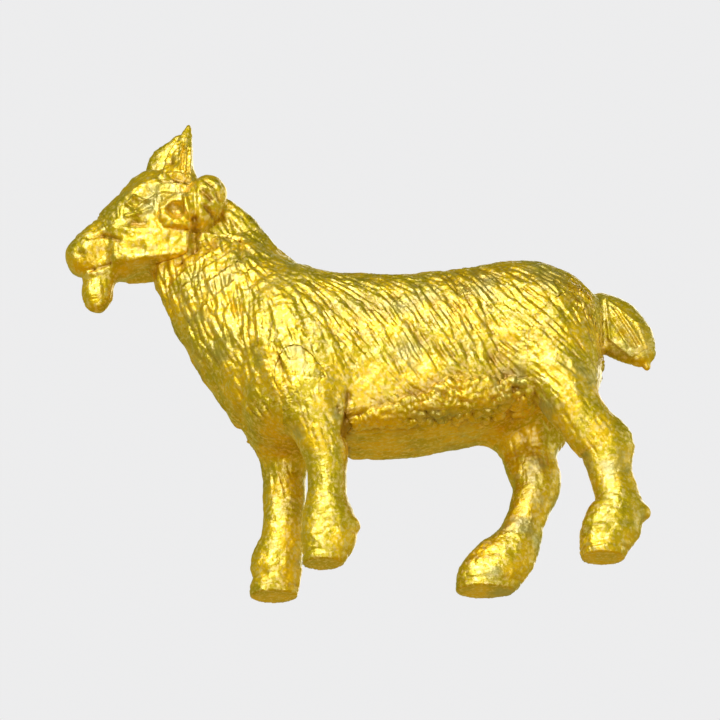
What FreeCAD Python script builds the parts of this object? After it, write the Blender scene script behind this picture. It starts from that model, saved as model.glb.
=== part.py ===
"""Small gilded goat figurine that stands on its four hooves.

The trunk and neck are a hollow casing in two halves, left and right, that meet on the middle plane.
Head, horns, ears, legs and tail are solid mouldings. Each is pegged into the piece that carries it:
a head plug between the two neck halves, a tail peg between the two rump halves, a peg in each leg root,
and a small peg under each horn and ear. Every fixed joint is glued, so nothing moves.

Millimetres. +Z up, the goat looks towards -X, its left side is towards -Y.
The origin is on the ground under the middle of the overall length.
"""

import FreeCAD, Part
import math
import os

import Sketcher
from FreeCAD import Placement, Rotation, Vector

# Section tables. Each row is one elliptical section: centre x, y, z, the tilt of its normal from +Z
# towards +X in degrees, its half depth in the middle plane and its half width across the goat.
UPRIGHT = 90.0
FLAT = 0.0
NECK_TILT = -38.0
HEAD_TILT = -115.0

DOWN = Vector(0, 0, -1)

TRUNK = [
    (-10.2, 0, 18.4, UPRIGHT, 2.4, 2.1),
    (-9.2, 0, 19.0, UPRIGHT, 4.8, 3.8),
    (-7.0, 0, 20.2, UPRIGHT, 7.4, 5.0),
    (-3.0, 0, 20.7, UPRIGHT, 7.8, 5.4),
    (2.0, 0, 20.6, UPRIGHT, 7.5, 5.6),
    (7.0, 0, 20.9, UPRIGHT, 7.4, 5.5),
    (12.0, 0, 21.9, UPRIGHT, 7.3, 5.4),
    (16.0, 0, 22.3, UPRIGHT, 6.7, 5.1),
    (19.0, 0, 22.3, UPRIGHT, 5.0, 4.0),
    (20.4, 0, 22.3, UPRIGHT, 3.0, 2.5),
]
NECK = [
    (-3.4, 0, 17.5, NECK_TILT, 6.5, 4.7),
    (-6.2, 0, 20.5, NECK_TILT, 6.9, 4.9),
    (-9.0, 0, 23.9, NECK_TILT, 6.4, 4.5),
    (-11.9, 0, 27.5, NECK_TILT, 5.4, 3.7),
    (-14.1, 0, 30.6, NECK_TILT, 4.5, 2.8),
    (-15.1, 0, 32.4, NECK_TILT, 3.5, 2.1),
]
HEAD = [
    (-13.9, 0, 34.6, HEAD_TILT, 2.0, 1.6),
    (-14.9, 0, 34.3, HEAD_TILT, 3.7, 2.6),
    (-16.6, 0, 33.8, HEAD_TILT, 4.8, 3.0),
    (-18.6, 0, 33.0, HEAD_TILT, 4.8, 2.9),
    (-20.6, 0, 31.9, HEAD_TILT, 3.8, 2.4),
    (-22.5, 0, 30.9, HEAD_TILT, 2.8, 1.9),
    (-23.8, 0, 30.3, HEAD_TILT, 2.1, 1.6),
    (-24.45, 0, 30.0, HEAD_TILT, 1.1, 0.9),
]
BEARD = [
    (-22.4, 0, 29.6, FLAT, 1.2, 0.9),
    (-22.5, 0, 28.0, FLAT, 1.3, 1.0),
    (-22.5, 0, 26.6, FLAT, 1.25, 1.1),
    (-22.4, 0, 25.6, FLAT, 0.95, 0.85),
    (-22.3, 0, 25.0, FLAT, 0.45, 0.4),
]
# Mirrored pairs list the left piece, whose y is negative. The right piece takes the opposite y.
EAR = [
    (-16.9, -2.7, 33.1, 80.0, 0.6, 0.5),
    (-16.0, -2.9, 33.3, 82.0, 1.4, 1.0),
    (-14.9, -3.0, 33.6, 84.0, 1.5, 1.1),
    (-13.9, -3.0, 34.0, 86.0, 1.8, 1.2),
    (-12.9, -2.9, 34.3, 88.0, 2.1, 1.3),
    (-12.0, -2.8, 34.4, 90.0, 1.5, 1.0),
    (-11.6, -2.7, 34.4, 90.0, 0.6, 0.5),
]
LEFT_HORN = [
    (-15.6, -1.45, 35.6, FLAT, 1.6, 1.15),
    (-15.55, -1.45, 37.2, FLAT, 1.5, 1.1),
    (-15.5, -1.4, 38.3, FLAT, 1.2, 0.95),
    (-15.4, -1.35, 39.4, FLAT, 1.05, 0.8),
    (-15.1, -1.3, 40.6, FLAT, 0.7, 0.55),
    (-14.7, -1.25, 42.0, FLAT, 0.15, 0.15),
]
RIGHT_HORN = [
    (-16.2, 1.45, 35.6, FLAT, 1.6, 1.15),
    (-16.4, 1.4, 37.4, FLAT, 1.6, 1.1),
    (-16.6, 1.35, 39.0, FLAT, 1.45, 1.0),
    (-16.35, 1.3, 40.2, FLAT, 1.2, 0.8),
    (-15.8, 1.2, 41.1, FLAT, 0.75, 0.6),
    (-15.1, 1.1, 42.1, FLAT, 0.15, 0.15),
]
TAIL = [
    (19.4, 0, 24.6, 100.0, 2.4, 1.45),
    (20.9, 0, 24.05, 118.0, 2.35, 1.4),
    (22.1, 0, 23.05, 133.0, 2.1, 1.3),
    (23.05, 0, 22.1, 135.0, 1.85, 1.2),
    (23.8, 0, 21.1, 143.0, 1.4, 1.0),
    (24.35, 0, 20.2, 148.0, 0.4, 0.35),
]
LEFT_FORELEG = [
    (-3.1, -3.0, 0.0, FLAT, 1.65, 1.25),
    (-3.05, -3.0, 0.6, FLAT, 1.9, 1.4),
    (-2.75, -3.05, 1.7, FLAT, 2.2, 1.45),
    (-2.6, -3.1, 3.1, FLAT, 2.35, 1.5),
    (-2.7, -3.2, 4.6, FLAT, 2.1, 1.45),
    (-2.8, -3.25, 6.2, FLAT, 1.7, 1.3),
    (-2.75, -3.3, 8.0, FLAT, 1.65, 1.3),
    (-2.95, -3.4, 10.0, FLAT, 1.95, 1.55),
    (-3.3, -3.6, 12.0, FLAT, 2.4, 2.0),
    (-3.9, -3.75, 14.5, FLAT, 2.9, 2.25),
    (-5.0, -3.8, 17.5, FLAT, 3.3, 2.3),
    (-6.0, -3.6, 20.4, FLAT, 2.9, 2.0),
    (-6.4, -2.6, 22.8, FLAT, 1.7, 1.1),
]
RIGHT_FORELEG = [
    (-7.3, 3.65, 0.0, FLAT, 1.8, 1.3),
    (-7.2, 3.65, 0.7, FLAT, 2.1, 1.45),
    (-6.9, 3.6, 1.5, FLAT, 2.0, 1.4),
    (-7.05, 3.55, 2.7, FLAT, 2.2, 1.45),
    (-6.9, 3.5, 3.8, FLAT, 2.1, 1.4),
    (-6.6, 3.4, 5.2, FLAT, 1.75, 1.35),
    (-6.5, 3.35, 6.8, FLAT, 1.65, 1.3),
    (-6.5, 3.35, 9.0, FLAT, 1.7, 1.35),
    (-6.5, 3.4, 11.0, FLAT, 1.85, 1.6),
    (-6.5, 3.6, 13.0, FLAT, 2.15, 1.9),
    (-6.5, 3.75, 15.2, FLAT, 2.7, 2.2),
    (-6.6, 3.8, 17.6, FLAT, 3.2, 2.3),
    (-6.6, 3.6, 20.4, FLAT, 2.9, 2.0),
    (-6.6, 2.6, 22.8, FLAT, 1.7, 1.1),
]
LEFT_HIND_LEG = [
    (20.35, -4.2, 0.0, FLAT, 1.6, 1.35),
    (20.3, -4.2, 0.6, FLAT, 1.95, 1.5),
    (20.75, -4.15, 1.5, FLAT, 2.25, 1.5),
    (21.1, -4.1, 2.6, FLAT, 2.4, 1.5),
    (21.6, -4.0, 3.9, FLAT, 2.5, 1.5),
    (21.9, -3.9, 5.0, FLAT, 2.15, 1.4),
    (21.7, -3.75, 6.4, FLAT, 1.85, 1.3),
    (21.25, -3.6, 8.0, FLAT, 1.8, 1.3),
    (21.0, -3.55, 9.6, FLAT, 2.0, 1.4),
    (20.6, -3.6, 11.0, FLAT, 2.6, 1.55),
    (19.4, -3.7, 12.7, FLAT, 2.8, 1.8),
    (17.9, -3.8, 14.8, FLAT, 3.0, 2.1),
    (16.7, -3.9, 17.2, FLAT, 3.5, 2.3),
    (16.3, -3.8, 20.0, FLAT, 3.7, 2.3),
    (16.2, -3.7, 23.0, FLAT, 3.0, 2.0),
    (16.2, -2.4, 25.9, FLAT, 1.5, 0.9),
]
RIGHT_HIND_LEG = [
    (10.6, 2.6, 0.0, FLAT, 2.1, 1.4),
    (10.65, 2.6, 0.7, FLAT, 2.5, 1.55),
    (11.0, 2.6, 1.5, FLAT, 2.8, 1.6),
    (11.9, 2.65, 2.5, FLAT, 3.0, 1.6),
    (12.7, 2.75, 3.7, FLAT, 2.6, 1.5),
    (13.3, 2.9, 5.0, FLAT, 2.15, 1.4),
    (13.9, 3.0, 6.6, FLAT, 1.8, 1.3),
    (14.3, 3.1, 8.2, FLAT, 1.85, 1.3),
    (14.85, 3.2, 9.8, FLAT, 2.05, 1.4),
    (14.9, 3.35, 11.2, FLAT, 2.15, 1.5),
    (14.45, 3.45, 12.7, FLAT, 2.45, 1.7),
    (14.55, 3.65, 14.7, FLAT, 3.2, 2.1),
    (15.4, 3.85, 17.1, FLAT, 3.75, 2.3),
    (15.95, 3.85, 19.9, FLAT, 3.75, 2.3),
    (16.2, 3.65, 23.0, FLAT, 3.05, 2.0),
    (16.15, 2.4, 25.8, FLAT, 1.5, 0.9),
]

# Other driving dimensions, one spreadsheet cell each.
DIMENSIONS = {
    "wall": 1.4,
    "seat_depth": 0.7,
    "peg_clearance": 0.05,
    "leg_peg_radius": 1.0,
    "leg_peg_reach": 1.9,
    "foreleg_peg_x": -6.2,
    "foreleg_peg_z": 19.5,
    "hind_leg_peg_x": 16.2,
    "hind_leg_peg_z": 20.5,
    "head_plug_radius": 1.5,
    "head_plug_length": 6.5,
    "head_plug_x": -12.2,
    "head_plug_z": 28.8,
    "tail_peg_radius": 0.8,
    "tail_peg_length": 3.6,
    "tail_peg_x": 18.0,
    "tail_peg_z": 24.3,
    "small_peg_radius": 0.4,
    "small_peg_length": 2.0,
    "post_radius": 1.5,
    "pin_radius": 0.7,
    "pin_reach": 1.2,
    "socket_spare": 0.3,
    "half_box": 60.0,
}
# Where the locating posts of the casing stand: x, z.
POSTS = {"shoulder": (-2.0, 23.5), "loin": (8.0, 22.0), "crest": (-9.4, 25.6)}

doc = FreeCAD.newDocument("GoatFigurine")
sheet = doc.addObject("Spreadsheet::Sheet", "Sizes")
section_counts = {}


def write_cell(alias, value):
    """Puts one named number in the next free row of the sheet."""
    write_cell.row += 1
    sheet.set(f"A{write_cell.row}", alias)
    sheet.set(f"B{write_cell.row}", str(value))
    sheet.setAlias(f"B{write_cell.row}", alias)


write_cell.row = 0


def write_sections(name, rows):
    """Writes a section table as cells NAMEk_x, _y, _z, _tilt, _deep and _wide."""
    for number, row in enumerate(rows, 1):
        for key, value in zip(("x", "y", "z", "tilt", "deep", "wide"), row):
            write_cell(f"{name}{number}_{key}", value)
    section_counts[name] = len(rows)


def mirrored(rows):
    """The same sections on the other side of the middle plane."""
    return [(x, -y, z, tilt, deep, wide) for x, y, z, tilt, deep, wide in rows]


def fill_sheet():
    """Every driving dimension of the figurine."""
    tables = {
        "trunk": TRUNK,
        "neck": NECK,
        "head": HEAD,
        "beard": BEARD,
        "left_ear": EAR,
        "right_ear": mirrored(EAR),
        "left_horn": LEFT_HORN,
        "right_horn": RIGHT_HORN,
        "tail": TAIL,
        "left_foreleg": LEFT_FORELEG,
        "right_foreleg": RIGHT_FORELEG,
        "left_hind_leg": LEFT_HIND_LEG,
        "right_hind_leg": RIGHT_HIND_LEG,
    }
    for name, rows in tables.items():
        write_sections(name, rows)
    for alias, value in DIMENSIONS.items():
        write_cell(alias, value)
    for name, (x, z) in POSTS.items():
        write_cell(f"{name}_post_x", x)
        write_cell(f"{name}_post_z", z)
    doc.recompute()


def add_section(body, name, number, shrink=None):
    """One ellipse on the body's own XY plane, moved and tilted to its place by the sheet."""
    cell = f"Sizes.{name}{number}"
    alias = f"{name}{number}"
    less = f" - Sizes.{shrink}" if shrink else ""
    taken = sheet.get(shrink) if shrink else 0.0
    deep = sheet.get(f"{alias}_deep") - taken
    wide = sheet.get(f"{alias}_wide") - taken
    sketch = body.newObject("Sketcher::SketchObject", f"{body.Name}_{alias}")
    plane = next(f for f in body.Origin.OriginFeatures if f.Role == "XY_Plane")
    sketch.AttachmentSupport = (plane, [""])
    sketch.MapMode = "FlatFace"
    centre = Vector(*(sheet.get(f"{alias}_{axis}") for axis in "xyz"))
    tilt = sheet.get(f"{alias}_tilt")
    sketch.AttachmentOffset = Placement(centre, Rotation(Vector(0, 1, 0), tilt))
    for axis in "xyz":
        sketch.setExpression(f"AttachmentOffset.Base.{axis}", f"{cell}_{axis}")
    outline = sketch.addGeometry(Part.Ellipse(Vector(deep, 0, 0), Vector(0, wide, 0), Vector(0, 0, 0)))
    sketch.exposeInternalGeometry(outline)
    long_axis, short_axis = outline + 1, outline + 2
    sketch.addConstraint(Sketcher.Constraint("Coincident", outline, 3, -1, 1))
    sketch.addConstraint(Sketcher.Constraint("Horizontal", long_axis))
    depth = sketch.addConstraint(Sketcher.Constraint("Distance", long_axis, 2 * deep))
    width = sketch.addConstraint(Sketcher.Constraint("Distance", short_axis, 2 * wide))
    sketch.renameConstraint(depth, "depth")
    sketch.renameConstraint(width, "width")
    sketch.setExpression("Constraints.depth", f"2 * ({cell}_deep{less})")
    sketch.setExpression("Constraints.width", f"2 * ({cell}_wide{less})")
    return sketch


def add_loft(body, name, kind="AdditiveLoft", first=1, last=None, shrink=None):
    """A loft through the numbered sections of one table, added to or taken from the body."""
    last = last or section_counts[name]
    sketches = [add_section(body, name, number, shrink) for number in range(first, last + 1)]
    loft = body.newObject(f"PartDesign::{kind}", f"{body.Name}_{name}_loft")
    loft.Profile = sketches[0]
    loft.Sections = sketches[1:]
    doc.recompute()
    return loft


def new_body(name):
    return doc.addObject("PartDesign::Body", name)


def blank(name, *tables):
    """A body that is one loft, or several fused lofts, at full size."""
    body = new_body(name)
    for table in tables:
        add_loft(body, table)
    return body


def cylinder(name, radius, length, base, axis, more_radius=None):
    """A Part cylinder with sizes from the sheet. base is three expressions, axis its direction."""
    part = doc.addObject("Part::Cylinder", name)
    extra = f" + Sizes.{more_radius}" if more_radius else ""
    part.setExpression("Radius", f"Sizes.{radius}{extra}")
    part.setExpression("Height", length)
    part.Placement = Placement(Vector(), Rotation(Vector(0, 0, 1), axis))
    for direction, expression in zip("xyz", base):
        part.setExpression(f"Placement.Base.{direction}", expression)
    return part


def fuse(name, shapes):
    fused = doc.addObject("Part::MultiFuse", name)
    fused.Shapes = shapes
    return fused


def cut(name, base, tool):
    result = doc.addObject("Part::Cut", name)
    result.Base = base
    result.Tool = tool
    return result


def make_envelopes():
    """The trunk and neck at full size, and the surface that leg roots are let into."""
    full = blank("casing_envelope", "trunk", "neck")
    seat = new_body("seat_envelope")
    add_loft(seat, "trunk", first=2, last=section_counts["trunk"] - 1, shrink="seat_depth")
    add_loft(seat, "neck", last=section_counts["neck"] - 1, shrink="seat_depth")
    return full, seat


def leg_peg(name, side, more_radius=None, spare=None):
    """The round peg that runs from a leg's root through the casing wall, across the goat."""
    kind = "foreleg" if "foreleg" in name else "hind_leg"
    outer = "Sizes.trunk4_wide" if kind == "foreleg" else "Sizes.trunk8_wide"
    extra = f" + Sizes.{spare}" if spare else ""
    suffix = "_hole" if more_radius else "_peg"
    start = f"{side} * ({outer} - Sizes.seat_depth + 0.2)"
    base = (f"Sizes.{kind}_peg_x", start, f"Sizes.{kind}_peg_z")
    length = f"Sizes.leg_peg_reach{extra}"
    return cylinder(name + suffix, "leg_peg_radius", length, base, Vector(0, -side, 0), more_radius)


def make_leg(name, side, seat):
    """A solid leg with its hoof: its root lies in a shallow seat of the casing, held by a peg."""
    root = cut(f"{name}_root", blank(f"{name}_blank", name), seat)
    return fuse(name, [root, leg_peg(name, side)])


def plug(name, more_radius=None, spare=None):
    """The head plug along the neck's axis."""
    tilt = math.radians(NECK_TILT)
    extra = f" + Sizes.{spare}" if spare else ""
    base = ("Sizes.head_plug_x", "0", "Sizes.head_plug_z")
    axis = Vector(math.sin(tilt), 0, math.cos(tilt))
    return cylinder(name, "head_plug_radius", f"Sizes.head_plug_length{extra}", base, axis, more_radius)


def small_peg(name, axis, more_radius=None):
    """A peg under a horn or ear: it starts inside the piece and ends inside the skull."""
    suffix = "_hole" if more_radius else "_peg"
    base = (f"Sizes.{name}2_x", f"Sizes.{name}2_y", f"Sizes.{name}2_z")
    return cylinder(name + suffix, "small_peg_radius", "Sizes.small_peg_length", base, axis, more_radius)


def tail_peg(name, more_radius=None, spare=None):
    """The tail peg along X. Its hole is longer at the blind end."""
    shift = f" - Sizes.{spare}" if spare else ""
    extra = f" + Sizes.{spare}" if spare else ""
    base = (f"Sizes.tail_peg_x{shift}", "0", "Sizes.tail_peg_z")
    axis = Vector(1, 0, 0)
    return cylinder(name, "tail_peg_radius", f"Sizes.tail_peg_length{extra}", base, axis, more_radius)


def ear_peg_axis(side):
    """Ear pegs run inwards across the skull."""
    return Vector(0, -side, 0)


def make_head(envelope):
    """Skull, muzzle and beard in one piece, hollowed to sit over the neck, with plug and peg holes."""
    outer = blank("head_blank", "head", "beard")
    seated = cut("head_seated", outer, envelope)
    plugged = fuse("head_plugged", [seated, plug("head_plug")])
    holes = []
    for label, side in (("left", -1), ("right", 1)):
        holes.append(small_peg(f"{label}_horn", DOWN, "peg_clearance"))
        holes.append(small_peg(f"{label}_ear", ear_peg_axis(side), "peg_clearance"))
    return cut("head", plugged, fuse("head_peg_holes", holes)), outer


def make_small_piece(name, axis, inside):
    """A horn or ear: the part of its loft that isn't inside the skull or neck, and its peg."""
    outside = cut(f"{name}_outside", blank(f"{name}_blank", name), inside)
    return fuse(name, [outside, small_peg(name, axis)])


def make_tail(envelope):
    outside = cut("tail_outside", blank("tail_blank", "tail"), envelope)
    return fuse("tail", [outside, tail_peg("tail_peg")])


def make_posts(side):
    """Round posts from the casing wall to the middle plane. The left ones end in locating pins."""
    side_name = "right" if side > 0 else "left"
    length = "Sizes.neck3_wide - Sizes.seat_depth"
    posts = []
    for name in POSTS:
        base = (f"Sizes.{name}_post_x", "0", f"Sizes.{name}_post_z")
        posts.append(cylinder(f"{name}_post_{side_name}", "post_radius", length, base, Vector(0, side, 0)))
    return posts


def make_pins(more_radius=None, spare=None):
    """Locating pins that reach from the left posts into sockets in the right posts."""
    suffix = "socket" if more_radius else "pin"
    extra = f" + Sizes.{spare}" if spare else ""
    pins = []
    for name in POSTS:
        base = (f"Sizes.{name}_post_x", "-1", f"Sizes.{name}_post_z")
        length = f"1 + Sizes.pin_reach{extra}"
        pins.append(cylinder(f"{name}_{suffix}", "pin_radius", length, base, Vector(0, 1, 0), more_radius))
    return pins


def half_space(name, side):
    """A box over the whole of one side of the middle plane."""
    box = doc.addObject("Part::Box", name)
    for size in ("Length", "Width", "Height"):
        box.setExpression(size, "Sizes.half_box")
    box.setExpression("Placement.Base.x", "-Sizes.half_box / 2")
    box.setExpression("Placement.Base.y", "0" if side > 0 else "-Sizes.half_box")
    return box


def make_shell(label, side, legs):
    """One half of the hollow casing, with its posts, leg seats and half of each split bore."""
    body = blank(f"{label}_casing", "trunk", "neck")
    add_loft(body, "trunk", "SubtractiveLoft", 2, section_counts["trunk"] - 1, "wall")
    add_loft(body, "neck", "SubtractiveLoft", 2, 4, "wall")
    inner = fuse(f"{label}_casing_with_posts", [body, *make_posts(side)])
    other_half = half_space(f"{label}_other_half", -side)
    bores = [
        plug(f"{label}_head_bore", "peg_clearance", "socket_spare"),
        tail_peg(f"{label}_tail_bore", "peg_clearance", "socket_spare"),
    ]
    holes = [leg_peg(leg.Name, side, "peg_clearance", "socket_spare") for leg in legs]
    sockets = make_pins("peg_clearance", "socket_spare") if side > 0 else []
    tool = fuse(f"{label}_openings", [other_half, *bores, *holes, *sockets, *legs])
    shell = cut(f"{label}_half", inner, tool)
    if side > 0:
        return shell
    return fuse(f"{label}_half_with_pins", [shell, *make_pins()])


def check(objects):
    """Stops with a message if any object failed or any sub-part isn't a valid closed shape."""
    for item in doc.Objects:
        if {"Invalid", "Error"} & set(item.State):
            raise RuntimeError(f"{item.Name} failed: {item.State}")
    for label, item in objects.items():
        shape = item.Shape
        if shape.isNull() or not shape.isValid() or not shape.Solids:
            raise RuntimeError(f"{label} has no valid solid")
        print(label, "solids", len(shape.Solids), "volume", round(shape.Volume, 2), "mm3")


def build():
    fill_sheet()
    envelope, seat = make_envelopes()
    made = {}
    for label, side in (("left", -1), ("right", 1)):
        for leg in ("foreleg", "hind_leg"):
            made[f"{label}_{leg}"] = make_leg(f"{label}_{leg}", side, seat)
    made["head"], outer_head = make_head(envelope)
    skull_and_neck = fuse("skull_and_neck", [outer_head, envelope])
    for label, side in (("left", -1), ("right", 1)):
        made[f"{label}_horn"] = make_small_piece(f"{label}_horn", DOWN, skull_and_neck)
        made[f"{label}_ear"] = make_small_piece(f"{label}_ear", ear_peg_axis(side), skull_and_neck)
    made["tail"] = make_tail(envelope)
    for label, side in (("left", -1), ("right", 1)):
        legs = [made[f"{label}_foreleg"], made[f"{label}_hind_leg"]]
        made[f"{label}_body_shell"] = make_shell(label, side, legs)
    doc.recompute()
    for label, item in made.items():
        item.Label = label
    check(made)
    os.makedirs("parts", exist_ok=True)
    for label, item in made.items():
        item.Shape.exportStep(f"parts/{label}.step")


build()
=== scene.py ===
"""Looks of the small gilded goat figurine.

The goat is described by signed distances, one group for each piece. The groups are blended into one smooth
body, and every point of that body belongs to the piece whose own distance is least. Each piece is then meshed
from its share, and its outside gets the carved coat, the face and the hooves as relief along the normal.

Distances and positions are millimetres in the row frame until a mesh is made. The goat looks towards -X,
its left side is towards -Y and +Z is up.
"""

import math

import bpy
import numpy as np
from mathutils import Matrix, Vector


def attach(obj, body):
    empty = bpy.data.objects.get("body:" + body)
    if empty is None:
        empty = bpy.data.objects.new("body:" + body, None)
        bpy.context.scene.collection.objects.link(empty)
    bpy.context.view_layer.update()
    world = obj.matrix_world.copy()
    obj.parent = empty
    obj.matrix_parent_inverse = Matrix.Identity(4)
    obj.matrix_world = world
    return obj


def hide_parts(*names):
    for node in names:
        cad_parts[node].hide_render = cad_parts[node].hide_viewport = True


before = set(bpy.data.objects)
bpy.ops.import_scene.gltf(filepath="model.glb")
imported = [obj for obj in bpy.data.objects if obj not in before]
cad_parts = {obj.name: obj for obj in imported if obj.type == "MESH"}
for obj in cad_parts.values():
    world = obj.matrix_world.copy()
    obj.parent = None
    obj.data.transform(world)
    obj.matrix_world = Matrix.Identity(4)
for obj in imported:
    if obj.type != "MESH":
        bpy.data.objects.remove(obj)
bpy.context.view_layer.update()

MM = 0.001
FAR = 50.0
LEFT, RIGHT = -1, 1
SIDES = {"left": LEFT, "right": RIGHT}

# ---------------------------------------------------------------- section tables
# Trunk: x, top z, bottom z, z of the widest place, half width.
TRUNK = [
    (-10.0, 21.5, 15.8, 19.0, 2.4),
    (-9.0, 24.4, 13.9, 19.2, 3.9),
    (-7.0, 27.2, 13.0, 19.6, 4.9),
    (-4.0, 27.9, 12.7, 19.8, 5.3),
    (0.0, 28.0, 12.65, 19.8, 5.5),
    (4.0, 28.0, 12.9, 19.8, 5.6),
    (8.0, 28.4, 13.6, 20.2, 5.6),
    (12.0, 29.1, 14.4, 21.0, 5.4),
    (15.0, 29.15, 15.7, 21.8, 5.1),
    (17.0, 28.5, 16.6, 22.2, 4.7),
    (18.6, 27.55, 17.2, 22.4, 4.0),
    (19.8, 26.4, 17.6, 22.4, 3.0),
    (20.45, 25.4, 18.6, 22.4, 2.0),
    (20.6, 23.6, 21.0, 22.4, 0.7),
]
# Tubes: x, y, z of the centre, half depth in the middle plane, half width across the goat.
NECK = [
    (-4.0, 0, 18.0, 6.2, 4.6),
    (-6.4, 0, 20.8, 6.7, 4.8),
    (-9.2, 0, 24.1, 6.2, 4.4),
    (-12.0, 0, 27.6, 5.2, 3.3),
    (-13.9, 0, 30.3, 4.4, 1.9),
    (-14.2, 0, 32.3, 3.4, 1.6),
]
MANE = [
    (-12.0, 0, 34.8, 1.0, 0.9),
    (-10.9, 0, 33.9, 1.05, 0.9),
    (-9.6, 0, 32.3, 1.1, 0.8),
    (-8.2, 0, 30.5, 1.1, 0.7),
    (-7.0, 0, 29.3, 1.0, 0.6),
    (-6.4, 0, 28.7, 0.9, 0.6),
]
SKULL = [
    (-13.7, 0, 35.0, 1.6, 1.5),
    (-15.0, 0, 34.9, 2.9, 2.3),
    (-16.8, 0, 34.45, 4.25, 2.6),
    (-18.8, 0, 33.2, 3.5, 2.5),
    (-20.6, 0, 31.65, 3.15, 2.1),
    (-22.2, 0, 30.95, 2.45, 1.7),
    (-23.4, 0, 30.3, 2.0, 1.55),
    (-23.95, 0, 30.1, 1.6, 1.4),
]
CHIN = [
    (-20.6, 0, 29.5, 1.3, 1.6),
    (-22.0, 0, 28.7, 1.1, 1.3),
    (-23.0, 0, 28.5, 0.75, 0.95),
]
BEARD = [
    (-22.1, 0, 28.5, 1.4, 1.0),
    (-22.35, 0, 27.3, 1.35, 1.05),
    (-22.4, 0, 26.2, 1.25, 1.05),
    (-22.4, 0, 25.6, 0.85, 0.8),
]
TAIL = [
    (19.8, 0, 24.5, 2.4, 1.35),
    (21.2, 0, 23.8, 2.55, 1.3),
    (22.15, 0, 23.0, 2.4, 1.25),
    (23.05, 0, 22.1, 2.1, 1.2),
    (23.8, 0, 21.1, 1.55, 1.05),
    (24.1, 0, 20.6, 1.0, 0.8),
]
LEFT_HORN = [
    (-15.55, -1.45, 36.3, 1.6, 1.15),
    (-15.55, -1.45, 37.2, 1.5, 1.1),
    (-15.5, -1.4, 38.3, 1.2, 0.95),
    (-15.4, -1.35, 39.4, 1.05, 0.8),
    (-15.1, -1.3, 40.6, 0.7, 0.55),
    (-14.9, -1.25, 41.5, 0.38, 0.35),
    (-14.75, -1.2, 42.2, 0.16, 0.16),
]
RIGHT_HORN = [
    (-16.4, 1.4, 36.4, 1.9, 1.15),
    (-16.6, 1.35, 38.0, 1.8, 1.1),
    (-16.75, 1.3, 39.2, 1.75, 1.0),
    (-16.55, 1.2, 40.3, 1.45, 0.8),
    (-15.9, 1.05, 41.3, 0.85, 0.6),
    (-15.5, 0.95, 42.0, 0.6, 0.4),
    (-15.15, 0.9, 42.4, 0.2, 0.2),
]
LEFT_FORELEG = [
    (-3.1, -3.0, -0.6, 1.5, 1.2),
    (-3.1, -3.0, 0.4, 1.75, 1.35),
    (-2.75, -3.05, 1.7, 2.15, 1.45),
    (-2.6, -3.1, 3.1, 2.3, 1.5),
    (-2.7, -3.2, 4.6, 2.1, 1.45),
    (-2.8, -3.25, 6.2, 1.7, 1.3),
    (-2.75, -3.3, 8.0, 1.65, 1.3),
    (-2.9, -3.4, 10.0, 1.9, 1.5),
    (-3.3, -3.5, 12.0, 2.35, 1.8),
    (-3.9, -3.6, 14.5, 2.9, 2.1),
    (-4.9, -3.6, 17.5, 3.4, 2.2),
    (-5.8, -3.3, 20.8, 3.3, 2.1),
    (-6.3, -2.6, 23.6, 2.4, 1.7),
]
RIGHT_FORELEG = [
    (-7.3, 3.65, -0.6, 1.6, 1.3),
    (-7.25, 3.65, 0.5, 2.05, 1.4),
    (-6.9, 3.6, 1.5, 1.95, 1.35),
    (-7.05, 3.55, 2.7, 2.2, 1.45),
    (-6.95, 3.5, 3.7, 2.1, 1.4),
    (-6.6, 3.4, 5.0, 1.85, 1.35),
    (-6.5, 3.3, 6.6, 1.72, 1.3),
    (-6.45, 3.35, 9.0, 1.82, 1.35),
    (-6.45, 3.4, 11.0, 1.85, 1.5),
    (-6.5, 3.5, 13.0, 2.05, 1.8),
    (-6.45, 3.6, 15.2, 2.6, 2.1),
    (-6.4, 3.6, 17.6, 3.2, 2.2),
    (-6.3, 3.3, 20.8, 3.2, 2.1),
    (-6.5, 2.6, 23.6, 2.4, 1.7),
]
LEFT_HIND_LEG = [
    (20.05, -4.2, -0.6, 1.4, 1.3),
    (20.1, -4.2, 0.3, 1.85, 1.5),
    (20.4, -4.15, 1.5, 2.2, 1.5),
    (20.8, -4.1, 2.6, 2.45, 1.5),
    (21.3, -4.0, 3.8, 2.4, 1.5),
    (21.6, -3.9, 4.9, 2.15, 1.4),
    (21.45, -3.75, 6.2, 1.85, 1.3),
    (21.05, -3.6, 8.0, 1.85, 1.3),
    (20.8, -3.55, 9.6, 2.1, 1.4),
    (20.6, -3.6, 10.8, 2.45, 1.5),
    (19.3, -3.7, 12.2, 2.3, 1.7),
    (17.9, -3.75, 14.3, 2.4, 2.0),
    (17.0, -3.6, 17.0, 3.15, 2.2),
    (16.3, -3.3, 20.5, 3.7, 2.2),
    (15.9, -2.7, 24.0, 3.2, 1.9),
]
RIGHT_HIND_LEG = [
    (10.2, 2.6, -0.6, 1.9, 1.4),
    (10.3, 2.6, 0.4, 2.3, 1.5),
    (10.8, 2.6, 1.4, 2.5, 1.6),
    (11.9, 2.65, 2.6, 2.5, 1.6),
    (12.9, 2.75, 3.9, 2.2, 1.5),
    (13.5, 2.9, 5.2, 1.85, 1.4),
    (13.95, 3.0, 6.7, 1.65, 1.3),
    (14.45, 3.1, 8.2, 1.8, 1.3),
    (14.95, 3.2, 9.8, 2.05, 1.4),
    (14.8, 3.3, 11.2, 2.2, 1.5),
    (14.4, 3.5, 12.8, 2.35, 1.7),
    (14.5, 3.6, 15.0, 3.0, 2.0),
    (15.4, 3.6, 17.8, 3.7, 2.2),
    (15.8, 3.3, 21.0, 3.8, 2.2),
    (15.9, 2.7, 24.0, 3.2, 1.9),
]


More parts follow.
